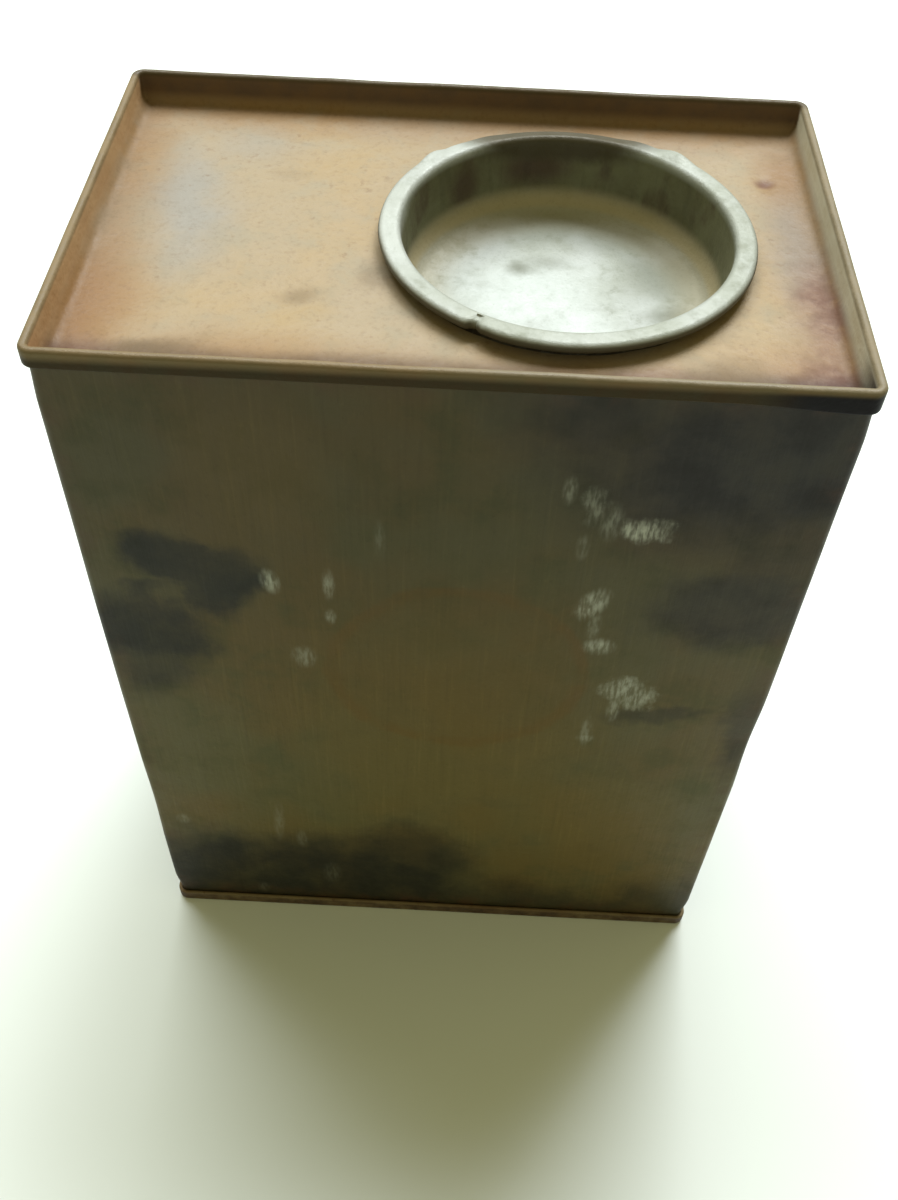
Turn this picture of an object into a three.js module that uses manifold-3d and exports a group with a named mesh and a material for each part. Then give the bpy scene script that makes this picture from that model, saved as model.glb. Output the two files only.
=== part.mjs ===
// A tall rectangular tinplate canister with a recessed top and an off-centre round press-in lid.
// Units are millimetres. +Z is up, the front faces -Y, and the origin is at the middle of the base.
//
// The tin is built as a tinsmith builds it. One sheet is folded into the wall and hooked to itself in a
// lock seam down the back. A pressed end closes each end of the wall in a five-layer double seam with a
// bead of sealing compound in its crown. A collar is soldered into a hole in the top, and the lid's pan
// plugs the collar.

import * as THREE from "three";
import { mergeVertices } from "three/addons/utils/BufferGeometryUtils.js";
import Module from "manifold-3d";

// Overall size, across the seams.
const WIDTH = 110;
const DEPTH = 73;
const HEIGHT = 150;

// Sheet metal.
const SHEET = 0.22;
const LAYER_GAP = 0.05;
const PITCH = SHEET + LAYER_GAP; // from the middle of one folded layer to the middle of the next
const HALF_SHEET = SHEET / 2;

// Double seams. OVERHANG is how far three folded layers stand out from the wall.
const OVERHANG = 3 * PITCH;
const SEAM_HEIGHT = 3;
const CROWN_RADIUS = 0.46;
const BODY_TURN_DEPTH = 1.05; // from the crown down to the centre of the wall's own turn
const END_TURN_HEIGHT = SEAM_HEIGHT - HALF_SHEET - PITCH; // from the crown down to the end hook's turn
const COMPOUND_GAP = 0.07;
const COMPOUND_LIP = 0.2;

// Ends.
const TOP_RECESS = 5;
const BOTTOM_RECESS = 3.8;
const PAN_FILLET = 2; // bend between an end's flat panel and its upright wall
const PANEL_OVERLAP = 0.4; // how far the swept edge of an end runs into its flat panel

// Corners of the wall, seen from above.
const CORNER_RADIUS = 1.2;
const LEAST_CORNER_RADIUS = 0.15;
const FACETS_PER_CORNER = 4;

// Lock seam down the back.
const LOCK_X = 34;
const LOCK_HALF_WIDTH = 2.3;
const LOCK_HOOK_END = 0.64; // each hook stops this far short of the other's turn
const LOCK_JOG = 0.9; // length over which the sheet steps out to cross the fold
const LOCK_RELIEF = 0.45;
const LOCK_NOTCH = 4.5; // the fold stops this far from each end of the tin, so the end seams stay thin
const LOCK_OVERLAP = 1; // how far the closed ring at each end of the wall runs into the folded strip

// Round opening, collar and lid.
const LID_X = 15.5;
const PLUG_RADIUS = 24.5; // outside of the lid's pan, at its top
const PLUG_TAPER = 0.5;
const COLLAR_CLEARANCE = 0.13;
const COLLAR_FOOT = 3.2;
const COLLAR_CURL = 0.55;
const COLLAR_CURL_END = -60; // degrees
const PANEL_HOLE_GAP = 0.33;
const SOLDER_LEG = 0.95;
const SOLDER_WAIST = 0.38; // the hollow face of the solder ring, out from the collar and up from the panel
const SOLDER_GAP = 0.06;
const LOCK_SOLDER_END = 1; // the lock seam's solder stops this far short of each end of the fold
const LID_RADIUS = 27.6;
const LID_DROP = 1.9; // from the rim of the tin down to the top of the lid
const LID_DEPTH = 12.2;
const LID_FLOOR_FILLET = 4.2;
const LID_SHOULDER = 0.8;
const LID_CURL = 0.75;
const LID_CURL_END = -100; // degrees
const LID_SEAT_GAP = 0.12;
const ROUND_SEGMENTS = 40;
const BEND_STEPS = 3; // facets in a quarter turn of sheet
const WELD = 1e-4; // corners closer than this are one

const TIN_COLOURS = {
  lacquer: { color: 0x4a4530, roughness: 0.55, metalness: 0.35 },
  topLacquer: { color: 0xb59a72, roughness: 0.5, metalness: 0.35 },
  base: { color: 0x4b3d2a, roughness: 0.65, metalness: 0.4 },
  plainTin: { color: 0xa9aaa3, roughness: 0.5, metalness: 0.6 },
  solder: { color: 0x77766f, roughness: 0.45, metalness: 0.8 },
  compound: { color: 0x2b2622, roughness: 0.9, metalness: 0 },
};

const wasm = await Module();
wasm.setup();

// ---------------------------------------------------------------- solids

function solidOf(geometry) {
  const bare = geometry.index ? geometry.toNonIndexed() : geometry.clone();
  bare.deleteAttribute("normal");
  bare.deleteAttribute("uv");
  const merged = mergeVertices(bare, WELD);
  const triangles = [];
  const index = merged.index.array;
  for (let i = 0; i < index.length; i += 3) {
    const [a, b, c] = index.slice(i, i + 3);
    if (a !== b && b !== c && c !== a) triangles.push(a, b, c);
  }
  return new wasm.Manifold(
    new wasm.Mesh({
      numProp: 3,
      vertProperties: merged.attributes.position.array,
      triVerts: new Uint32Array(triangles),
    }),
  );
}

function geometryOf(solid) {
  const mesh = solid.getMesh();
  const geometry = new THREE.BufferGeometry();
  geometry.setAttribute("position", new THREE.BufferAttribute(mesh.vertProperties, 3));
  geometry.setIndex(new THREE.BufferAttribute(mesh.triVerts, 1));
  geometry.computeVertexNormals();
  return geometry;
}

function union(...geometries) {
  return geometryOf(geometries.map(solidOf).reduce((a, b) => a.add(b)));
}

// ---------------------------------------------------------------- outlines

// Points of an arc about (x, y), from one angle to another in degrees, both ends included.
function arc(x, y, radius, from, to) {
  const steps = Math.max(1, Math.round((Math.abs(to - from) / 90) * BEND_STEPS));
  return Array.from({ length: steps + 1 }, (_, i) => {
    const angle = THREE.MathUtils.degToRad(from + ((to - from) * i) / steps);
    return [x + radius * Math.cos(angle), y + radius * Math.sin(angle)];
  });
}

// Both faces of a sheet whose middle follows a line: out along the right side and back along the left.
function sheetOutline(middle) {
  const points = middle.map(([x, y]) => new THREE.Vector2(x, y));
  const side = (sign) =>
    points.map((point, i) => {
      const before = points[Math.max(i - 1, 0)];
      const after = points[Math.min(i + 1, points.length - 1)];
      const into = point.clone().sub(before).normalize();
      const out = after.clone().sub(point).normalize();
      const along = into.add(out).normalize();
      const edge = i === points.length - 1 ? point.clone().sub(before) : after.clone().sub(point);
      const reach = HALF_SHEET / along.dot(edge.normalize());
      return [point.x + sign * along.y * reach, point.y - sign * along.x * reach];
    });
  return [...side(1), ...side(-1).reverse()];
}

// ---------------------------------------------------------------- sweeps

// A rounded rectangle round the tin. `out` is the distance out from the wall's outer face.
function corner(out) {
  const radius = Math.max(CORNER_RADIUS + out, LEAST_CORNER_RADIUS);
  return {
    radius,
    x: WIDTH / 2 - OVERHANG + out - radius,
    y: DEPTH / 2 - OVERHANG + out - radius,
  };
}

const CORNER_STEP = 90 / FACETS_PER_CORNER;
const TANGENT = 1 / Math.cos(THREE.MathUtils.degToRad(CORNER_STEP / 2)); // facets touch the true corner
const SWEEP_RADIUS = 20; // keeps a sweep clear of its own axis before its corners are moved out

// Takes an outline of [out, z] points round the tin: a lathe with its four quarters moved to the corners.
function aroundTin(outline) {
  const profile = [...outline, outline[0]].map(([out, z]) => new THREE.Vector2(SWEEP_RADIUS + out, z));
  const halfStep = THREE.MathUtils.degToRad(CORNER_STEP / 2);
  const swept = new THREE.LatheGeometry(profile, 4 * FACETS_PER_CORNER, halfStep).rotateX(Math.PI / 2);
  const position = swept.attributes.position;
  for (let i = 0; i < position.count; i++) {
    const x = position.getX(i);
    const y = position.getY(i);
    const reach = Math.hypot(x, y);
    const { radius, x: cornerX, y: cornerY } = corner(reach - SWEEP_RADIUS);
    const scale = (radius * TANGENT) / reach;
    position.setX(i, Math.sign(x) * cornerX + x * scale);
    position.setY(i, Math.sign(y) * cornerY + y * scale);
  }
  return swept;
}

// The points of that rounded rectangle as one loop, from the middle of the back anticlockwise.
function loopAroundTin(out) {
  const { radius, x, y } = corner(out);
  const quarters = [[-1, 1, 90], [-1, -1, 180], [1, -1, 270], [1, 1, 0]];
  return quarters.flatMap(([signX, signY, start]) =>
    Array.from({ length: FACETS_PER_CORNER }, (_, i) => {
      const angle = THREE.MathUtils.degToRad(start + CORNER_STEP * (i + 0.5));
      const reach = radius * TANGENT;
      return [signX * x + reach * Math.cos(angle), signY * y + reach * Math.sin(angle)];
    }),
  );
}

function lathe(profile) {
  const points = profile.map(([r, z]) => new THREE.Vector2(r, z));
  return new THREE.LatheGeometry(points, ROUND_SEGMENTS).rotateX(Math.PI / 2);
}

function extrude(shape, depth) {
  const halfTurn = ROUND_SEGMENTS / 2;
  const options = { depth, bevelEnabled: false, curveSegments: halfTurn };
  return new THREE.ExtrudeGeometry(shape, options);
}

function shapeOf(points) {
  return new THREE.Shape(points.map(([x, y]) => new THREE.Vector2(x, y)));
}

// ---------------------------------------------------------------- ends

// A point in a double seam: `layer` counts outwards from the wall, `drop` is down from the crown.
function seamPoint(layer, drop) {
  return [layer * PITCH - HALF_SHEET, -drop];
}

// The middle of an end's sheet, from its flat panel up the recess wall, over the crown and into the hook.
function endMiddle(recess) {
  const [inner] = seamPoint(-1, 0);
  const [outer] = seamPoint(3, 0);
  const [hook] = seamPoint(2, 0);
  const panel = -recess - HALF_SHEET;
  const crown = -HALF_SHEET - CROWN_RADIUS;
  return [
    [inner - PAN_FILLET - PANEL_OVERLAP, panel],
    ...arc(inner - PAN_FILLET, panel + PAN_FILLET, PAN_FILLET, -90, 0),
    ...arc(inner + CROWN_RADIUS, crown, CROWN_RADIUS, 180, 90),
    ...arc(outer - CROWN_RADIUS, crown, CROWN_RADIUS, 90, 0),
    ...arc(hook, -END_TURN_HEIGHT, PITCH, 0, -180),
    seamPoint(1, BODY_TURN_DEPTH),
  ];
}

// An end with its crown at z 0 and its panel below; `holeRadius` 0 leaves the panel whole.
function pressedEnd(recess, holeRadius) {
  const [inner] = seamPoint(-1, 0);
  const panel = shapeOf(loopAroundTin(inner - PAN_FILLET));
  if (holeRadius) {
    const hole = new THREE.Path().absarc(LID_X, 0, holeRadius, 0, 2 * Math.PI, true);
    panel.holes.push(hole);
  }
  const plate = extrude(panel, SHEET).translate(0, 0, -recess - SHEET);
  return union(aroundTin(sheetOutline(endMiddle(recess))), plate);
}

// Sealing compound in the crown of a double seam, between the wall's turn and the end.
function compoundBead() {
  const [middle] = seamPoint(1, 0);
  const side = 2 * PITCH - HALF_SHEET - COMPOUND_GAP;
  const low = PITCH + HALF_SHEET + COMPOUND_GAP - BODY_TURN_DEPTH;
  const high = -SHEET - COMPOUND_GAP;
  return aroundTin([
    [middle - side, low],
    [middle + side, low],
    [middle + side, high - COMPOUND_LIP],
    [middle + side - COMPOUND_LIP, high],
    [middle - side + COMPOUND_LIP, high],
    [middle - side, high - COMPOUND_LIP],
  ]);
}

// Turns a piece made at the top crown over, for the same seam at the base.
function atBase(geometry) {
  return geometry.rotateX(Math.PI);
}

// ---------------------------------------------------------------- wall

// The wall's own flange at one end: from `reach` below the crown up to the turn and down as the body hook.
function wallFlange(reach) {
  const [turn] = seamPoint(1, 0);
  return aroundTin(
    sheetOutline([
      seamPoint(0, reach),
      ...arc(turn, -BODY_TURN_DEPTH, PITCH, 180, 0),
      seamPoint(2, END_TURN_HEIGHT),
    ]),
  );
}

// The wall between the notches, as one strip whose two edges hook together outside the back.
function lockedStrip() {
  const back = DEPTH / 2 - OVERHANG - HALF_SHEET;
  const level = (n) => back + n * PITCH;
  const left = LOCK_X - LOCK_HALF_WIDTH;
  const right = LOCK_X + LOCK_HALF_WIDTH;
  const innerHook = [
    [left + PITCH + LOCK_HOOK_END, level(2)],
    ...arc(right - PITCH, level(1), PITCH, 90, -90),
  ];
  const outerHook = [
    [right + LOCK_JOG, level(0)],
    [right + LOCK_RELIEF, level(3)],
    ...arc(left + PITCH, level(2), PITCH, 90, 270),
    [right - PITCH - LOCK_HOOK_END, level(1)],
  ];
  const middle = [...innerHook, ...loopAroundTin(-HALF_SHEET), ...outerHook];
  const strip = shapeOf(sheetOutline(middle));
  return extrude(strip, HEIGHT - 2 * LOCK_NOTCH).translate(0, 0, LOCK_NOTCH);
}

function wallSheet() {
  const top = wallFlange(LOCK_NOTCH + LOCK_OVERLAP).translate(0, 0, HEIGHT);
  const base = atBase(wallFlange(LOCK_NOTCH + LOCK_OVERLAP));
  return union(lockedStrip(), top, base);
}

function lockSeamSolder() {
  const wall = DEPTH / 2 - OVERHANG + SOLDER_GAP;
  const edge = LOCK_X - LOCK_HALF_WIDTH - HALF_SHEET - SOLDER_GAP;
  const fillet = shapeOf([
    [edge - SOLDER_LEG, wall],
    [edge, wall],
    [edge, wall + SOLDER_LEG / 2],
  ]);
  const low = LOCK_NOTCH + LOCK_SOLDER_END;
  return extrude(fillet, HEIGHT - 2 * low).translate(0, 0, low);
}

// ---------------------------------------------------------------- collar and lid

const PANEL_TOP = HEIGHT - TOP_RECESS;
const LID_TOP = HEIGHT - LID_DROP;
const COLLAR_MIDDLE = PLUG_RADIUS + COLLAR_CLEARANCE + HALF_SHEET;

function collar() {
  const foot = PANEL_TOP - SHEET - LAYER_GAP - HALF_SHEET;
  const curl = LID_TOP - SHEET - LID_SEAT_GAP - HALF_SHEET - COLLAR_CURL;
  const outline = sheetOutline([
    [COLLAR_MIDDLE + COLLAR_FOOT, foot],
    ...arc(COLLAR_MIDDLE + COLLAR_CURL, foot + COLLAR_CURL, COLLAR_CURL, -90, -180),
    ...arc(COLLAR_MIDDLE + COLLAR_CURL, curl, COLLAR_CURL, 180, COLLAR_CURL_END),
  ]);
  return lathe([...outline, outline[0]]);
}

function collarSolder() {
  const inner = COLLAR_MIDDLE + HALF_SHEET + SOLDER_GAP;
  const base = PANEL_TOP + SOLDER_GAP;
  const corners = [
    [inner, base],
    [inner + SOLDER_LEG, base],
    [inner + SOLDER_WAIST, base + SOLDER_WAIST],
    [inner, base + SOLDER_LEG],
  ];
  return lathe([...corners, corners[0]]);
}

// The lid: a pan that plugs the collar, with a flange that rests on it and a curled edge.
function pressLid() {
  const wall = PLUG_RADIUS - HALF_SHEET;
  const floor = LID_TOP - LID_DEPTH - HALF_SHEET;
  const flange = LID_TOP - HALF_SHEET;
  const curlX = LID_RADIUS - HALF_SHEET - LID_CURL;
  return lathe(
    sheetOutline([
      [0, floor],
      ...arc(wall - PLUG_TAPER - LID_FLOOR_FILLET, floor + LID_FLOOR_FILLET, LID_FLOOR_FILLET, -90, 0),
      ...arc(wall + LID_SHOULDER, flange - LID_SHOULDER, LID_SHOULDER, 180, 90),
      ...arc(curlX, flange - LID_CURL, LID_CURL, 90, LID_CURL_END),
    ]),
  );
}

// ---------------------------------------------------------------- assembly

function piece(name, geometry, finish) {
  const mesh = new THREE.Mesh(geometry, new THREE.MeshStandardMaterial(TIN_COLOURS[finish]));
  mesh.name = name;
  return mesh;
}

function tinBody() {
  const holeRadius = COLLAR_MIDDLE + HALF_SHEET + PANEL_HOLE_GAP;
  const group = new THREE.Group();
  group.add(
    piece("wall_sheet", wallSheet(), "lacquer"),
    piece("lock_seam_solder", lockSeamSolder(), "solder"),
    piece("top_end", pressedEnd(TOP_RECESS, holeRadius).translate(0, 0, HEIGHT), "topLacquer"),
    piece("top_seam_compound", compoundBead().translate(0, 0, HEIGHT), "compound"),
    piece("bottom_end", atBase(pressedEnd(BOTTOM_RECESS, 0)), "base"),
    piece("bottom_seam_compound", atBase(compoundBead()), "compound"),
  );
  return group;
}

function roundOpening() {
  const group = new THREE.Group();
  group.add(piece("collar", collar(), "plainTin"), piece("collar_solder", collarSolder(), "solder"));
  group.position.x = LID_X;
  return group;
}

function lid() {
  const group = new THREE.Group();
  group.add(piece("press_lid", pressLid(), "plainTin"));
  group.position.x = LID_X;
  return group;
}

const canister = new THREE.Group();
canister.add(tinBody(), roundOpening(), lid());

export default canister;
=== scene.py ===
"""Looks of a tall rectangular tinplate canister with a press-in lid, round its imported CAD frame.

Lengths are in millimetres until a mesh is made. The front faces -Y and +Z is up, as in the frame.
"""

import math

import bpy
import numpy as np
from mathutils import Euler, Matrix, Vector


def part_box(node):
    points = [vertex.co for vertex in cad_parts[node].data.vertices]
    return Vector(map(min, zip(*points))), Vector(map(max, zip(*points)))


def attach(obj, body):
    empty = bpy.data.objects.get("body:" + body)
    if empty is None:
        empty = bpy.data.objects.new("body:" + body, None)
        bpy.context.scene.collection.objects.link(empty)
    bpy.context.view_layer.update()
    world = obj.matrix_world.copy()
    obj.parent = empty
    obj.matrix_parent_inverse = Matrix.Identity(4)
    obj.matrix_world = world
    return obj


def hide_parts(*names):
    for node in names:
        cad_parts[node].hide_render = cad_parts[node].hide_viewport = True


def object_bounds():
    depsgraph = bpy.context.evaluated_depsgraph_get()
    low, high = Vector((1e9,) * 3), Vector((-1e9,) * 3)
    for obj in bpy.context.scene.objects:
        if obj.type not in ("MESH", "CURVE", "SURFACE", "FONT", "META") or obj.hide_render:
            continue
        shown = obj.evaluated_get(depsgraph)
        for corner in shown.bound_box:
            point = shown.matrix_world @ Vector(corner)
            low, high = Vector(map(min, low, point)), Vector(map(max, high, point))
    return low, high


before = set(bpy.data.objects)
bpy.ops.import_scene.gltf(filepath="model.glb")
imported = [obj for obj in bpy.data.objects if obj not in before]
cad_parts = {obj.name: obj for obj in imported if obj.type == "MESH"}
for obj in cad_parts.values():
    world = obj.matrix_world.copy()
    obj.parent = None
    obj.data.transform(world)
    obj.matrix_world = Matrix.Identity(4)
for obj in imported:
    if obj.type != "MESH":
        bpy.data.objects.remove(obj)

cad_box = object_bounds()
MM = 0.001


def box_mm(node):
    low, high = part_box(node)
    return np.array(low) / MM, np.array(high) / MM


# ---------------------------------------------------------------- sizes

TIN_HIGH = np.array(cad_box[1]) / MM
HALF_WIDTH = TIN_HIGH[0]
HALF_DEPTH = TIN_HIGH[1]
HEIGHT = TIN_HIGH[2]
LID_LOW, LID_HIGH = box_mm("press_lid")
COLLAR_LOW, COLLAR_HIGH = box_mm("collar")
LID_CENTRE = (LID_LOW + LID_HIGH) / 2
LID_RADIUS = (LID_HIGH[0] - LID_LOW[0]) / 2
LID_TOP = LID_HIGH[2]
PANEL_UNDERSIDE = box_mm("top_end")[0][2]
BASE_PANEL_TOP = box_mm("bottom_end")[1][2]

SHEET = 0.22
LAYER_GAP = 0.05
PITCH = SHEET + LAYER_GAP
HALF_SHEET = SHEET / 2
OVERHANG = 3 * PITCH  # how far the seams stand out from the wall
SEAM_HEIGHT = 3
CROWN_RADIUS = 0.46
WALL_TURN_DEPTH = 1.05
END_TURN_DEPTH = SEAM_HEIGHT - HALF_SHEET - PITCH
PAN_FILLET = 2
CORNER_RADIUS = 1.2
LEAST_CORNER_RADIUS = 0.15
WALL_X = HALF_WIDTH - OVERHANG
WALL_Y = HALF_DEPTH - OVERHANG
PANEL_TOP = PANEL_UNDERSIDE + SHEET

LOCK_X = 34
LOCK_HALF_WIDTH = 2.3
LOCK_JOG = 0.9
LOCK_NOTCH = 4.5
# How the lock seam stands out: distance past its left or right edge, and height there.
LOCK_RISE = [(-0.02, 0), (0, 0.45), (0.08, 0.62), (0.25, 0.76)]
LOCK_FALL = [(0, 0.76), (0.2, 0.7), (0.65, 0.08), (LOCK_JOG, 0)]

PLUG_RADIUS = 24.5
PLUG_GAP = 0.13  # between the lid's pan and the collar
PLUG_TAPER = 0.5
LID_FLOOR_FILLET = 4.2
LID_SHOULDER = 0.8
LID_CURL = 0.75
COLLAR_CURL = 0.55
FLANGE_GAP = 0.12  # between the lid's flange and the collar's curl
COLLAR_MIDDLE = PLUG_RADIUS + PLUG_GAP + HALF_SHEET
HOLE_RADIUS = COLLAR_MIDDLE + HALF_SHEET + 0.33
SOLDER_LEG = 0.95
SOLDER_GAP = 0.06

SIDE_SPACING = 2.0
ROW_SPACING = 2.0
LEAST_SPACING = 0.6  # an even mark closer than this to an extra one is left out
CORNER_STEPS = 8
PANEL_RINGS = 34
ARC_STEP = 15  # degrees
ROUND_STEPS = 288
SHARP_ANGLE = 50  # degrees
RIPPLE_TERMS = 7
RIPPLE_GAIN = 1.6  # brings the sum of the terms up to about -1 to 1


# ---------------------------------------------------------------- outlines

def arc(x, y, radius, start, stop):
    steps = max(1, round(abs(stop - start) / ARC_STEP))
    angles = np.radians(np.linspace(start, stop, steps + 1))
    return [(x + radius * math.cos(a), y + radius * math.sin(a)) for a in angles]


def filled(points, spacing):
    """The same line with points added, so that none are further apart than the spacing."""
    line = [np.array(points[0], float)]
    for point in points[1:]:
        point = np.array(point, float)
        start = line[-1]
        steps = max(1, math.ceil(np.linalg.norm(point - start) / spacing))
        line.extend(start + (point - start) * i / steps for i in range(1, steps + 1))
    return np.array(line)


def sheet_sides(middle):
    """The right and left faces of a sheet whose middle follows the line, point by point."""
    middle = np.array(middle, float)
    steps = np.diff(middle, axis=0)
    steps /= np.linalg.norm(steps, axis=1)[:, None]
    bisector = np.vstack([steps[:1], steps[:-1] + steps[1:], steps[-1:]])
    bisector /= np.linalg.norm(bisector, axis=1)[:, None]
    edge = np.vstack([steps, steps[-1:]])
    reach = HALF_SHEET / np.sum(bisector * edge, axis=1)
    normal = np.stack([bisector[:, 1], -bisector[:, 0]], axis=1) * reach[:, None]
    return middle + normal, middle - normal


def seam_point(layer, height):
    """A place in a double seam: layers count outwards from the wall."""
    return layer * PITCH - HALF_SHEET, height


# ---------------------------------------------------------------- loops round the tin

def side_marks(length, extra=()):
    """Places along a straight side from -1 to 1, with extra ones wherever an edge needs them."""
    count = math.ceil(length / SIDE_SPACING)
    even = np.linspace(-1, 1, count + 1)[1:-1]
    half = length / 2
    keep = [mark for mark in even if all(abs(mark - other) * half > LEAST_SPACING for other in extra)]
    return np.array(sorted([*keep, *extra]))


def lock_marks():
    left = LOCK_X - LOCK_HALF_WIDTH
    right = LOCK_X + LOCK_HALF_WIDTH
    edges = [*(left + past for past, _ in LOCK_RISE), left + 0.6]
    edges += [right - 0.1, right + 0.4, *(right + past for past, _ in LOCK_FALL)]
    return [edge / (WALL_X - CORNER_RADIUS) for edge in edges]


class Loop:
    """Stations round the tin, anticlockwise from its back right corner."""

    def __init__(self):
        # The four quarters: signs of the corner, its first angle, the direction of the side that
        # follows it, and the marks on that side.
        back = -side_marks(2 * WALL_X, lock_marks())[::-1]
        quarters = [
            (1, 1, 0, (-1, 0), back),
            (-1, 1, 90, (0, -1), side_marks(2 * WALL_Y)),
            (-1, -1, 180, (1, 0), side_marks(2 * WALL_X)),
            (1, -1, 270, (0, 1), side_marks(2 * WALL_Y)),
        ]
        signs, normals = [], []
        for sign_x, sign_y, first, direction, marks in quarters:
            for angle in np.radians(np.linspace(first, first + 90, CORNER_STEPS + 1)):
                signs.append((sign_x, sign_y))
                normals.append((math.cos(angle), math.sin(angle)))
            last = normals[-1]
            for mark in marks:
                free = (abs(direction[0]) * mark * direction[0], abs(direction[1]) * mark * direction[1])
                fixed = (sign_x * (1 - abs(direction[0])), sign_y * (1 - abs(direction[1])))
                signs.append((free[0] + fixed[0], free[1] + fixed[1]))
                normals.append(last)
        self.signs = np.array(signs, float)
        self.normals = np.round(np.array(normals), 12)
        self.count = len(signs)

    def at(self, out):
        """The loop at a distance out from the wall's outer face."""
        radius = max(CORNER_RADIUS + out, LEAST_CORNER_RADIUS)
        centre = np.array([WALL_X + out - radius, WALL_Y + out - radius])
        return self.signs * centre + self.normals * radius


LOOP = Loop()


def ring(xy, z):
    return np.column_stack([xy, np.full(len(xy), z)])


def swept(side):
    return [ring(LOOP.at(out), z) for out, z in side]


# ---------------------------------------------------------------- meshes

def ripple(points, wave, seed):
    """Smooth waviness from -1 to 1 over an array of points, with the wavelength in millimetres."""
    rng = np.random.default_rng(seed)
    total = np.zeros(len(points))
    for _ in range(RIPPLE_TERMS):
        direction = rng.normal(size=3)
        direction *= 2 * math.pi / (np.linalg.norm(direction) * wave * rng.uniform(0.7, 1.8))
        total += np.cos(points @ direction + rng.uniform(0, 2 * math.pi))
    return total / RIPPLE_TERMS * RIPPLE_GAIN


def dimple(points, centre, radius):
    """1 at a dent's centre, falling smoothly to 0 at its radius."""
    distance = np.linalg.norm((points - np.array(centre)) / radius, axis=1)
    return np.where(distance < 1, (1 - distance**2) ** 2, 0)


def smoothstep(value, low, high):
    t = np.clip((value - low) / (high - low), 0, 1)
    return t * t * (3 - 2 * t)


def make_piece(name, rings, closed, body, node):
    """A mesh through rings of equal length. Open ends are closed with a point in the middle."""
    count = len(rings[0])
    points = np.vstack(rings)
    faces = []
    pairs = len(rings) if closed else len(rings) - 1
    for i in range(pairs):
        a = i * count
        b = ((i + 1) % len(rings)) * count
        for j in range(count):
            k = (j + 1) % count
            faces.append((a + j, a + k, b + k, b + j))
    if not closed:
        for first, flip in ((0, True), ((len(rings) - 1) * count, False)):
            middle = len(points)
            points = np.vstack([points, points[first:first + count].mean(axis=0)])
            for j in range(count):
                k = (j + 1) % count
                pair = (first + k, first + j) if flip else (first + j, first + k)
                faces.append((*pair, middle))
    mesh = bpy.data.meshes.new(name)
    mesh.from_pydata((points * MM).tolist(), [], faces)
    mesh.validate()
    if signed_volume(mesh) < 0:
        mesh.flip_normals()
    mesh.shade_smooth()
    mesh.set_sharp_from_angle(angle=math.radians(SHARP_ANGLE))
    piece = bpy.data.objects.new(name, mesh)
    bpy.context.scene.collection.objects.link(piece)
    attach(piece, body)
    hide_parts(node)
    return piece


def signed_volume(mesh):
    total = 0.0
    mesh.calc_loop_triangles()
    for triangle in mesh.loop_triangles:
        a, b, c = (mesh.vertices[i].co for i in triangle.vertices)
        total += a.dot(b.cross(c))
    return total


# ---------------------------------------------------------------- tin

def lock_seam_height(points):
    """How far the folded lock seam stands out of the back of the wall."""
    x, y, z = points.T
    left = LOCK_X - LOCK_HALF_WIDTH
    right = LOCK_X + LOCK_HALF_WIDTH
    past, heights = np.array(LOCK_RISE).T
    rise = np.interp(x, left + past, heights)
    past, heights = np.array(LOCK_FALL).T
    fall = np.interp(x, right + past, heights)
    height = np.where(x < LOCK_X, rise, fall)
    inside = smoothstep(z, LOCK_NOTCH - 0.6, LOCK_NOTCH + 0.6) * smoothstep(
        z, HEIGHT - LOCK_NOTCH + 0.6, HEIGHT - LOCK_NOTCH - 0.6
    )
    return np.where(y > 0, height * inside, 0)


# Dents in the wall: centre, radius along each axis, and depth.
WALL_DENTS = [
    ((WALL_X, -WALL_Y, 68), (10, 12, 14), 0.3),
    ((-36, -WALL_Y, 96), (16, 6, 14), 0.35),
    ((28, -WALL_Y, 82), (11, 6, 9), 0.3),
    ((8, -WALL_Y, 22), (18, 6, 12), 0.3),
    ((-WALL_X, -WALL_Y, 40), (7, 8, 16), 0.2),
    ((WALL_X, 8, 104), (6, 14, 16), 0.6),
    ((WALL_X, -12, 38), (6, 10, 12), 0.35),
    ((-WALL_X, 4, 62), (6, 16, 20), 0.55),
    ((-20, WALL_Y, 88), (18, 6, 22), 0.6),
    ((12, WALL_Y, 40), (12, 6, 12), 0.45),
    ((-WALL_X, WALL_Y, 110), (7, 8, 9), 0.5),
]


SIDE_SWELL = 0.72  # how far the sides have spread between the seams
UPPER_SWELL = 0.45  # the share of it just under the top seam
SWELL_FROM = 38  # the front and the back stretch from here out to the sides
BOX_MARGIN = 0.03  # how far the spread sides stay inside the CAD box


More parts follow.
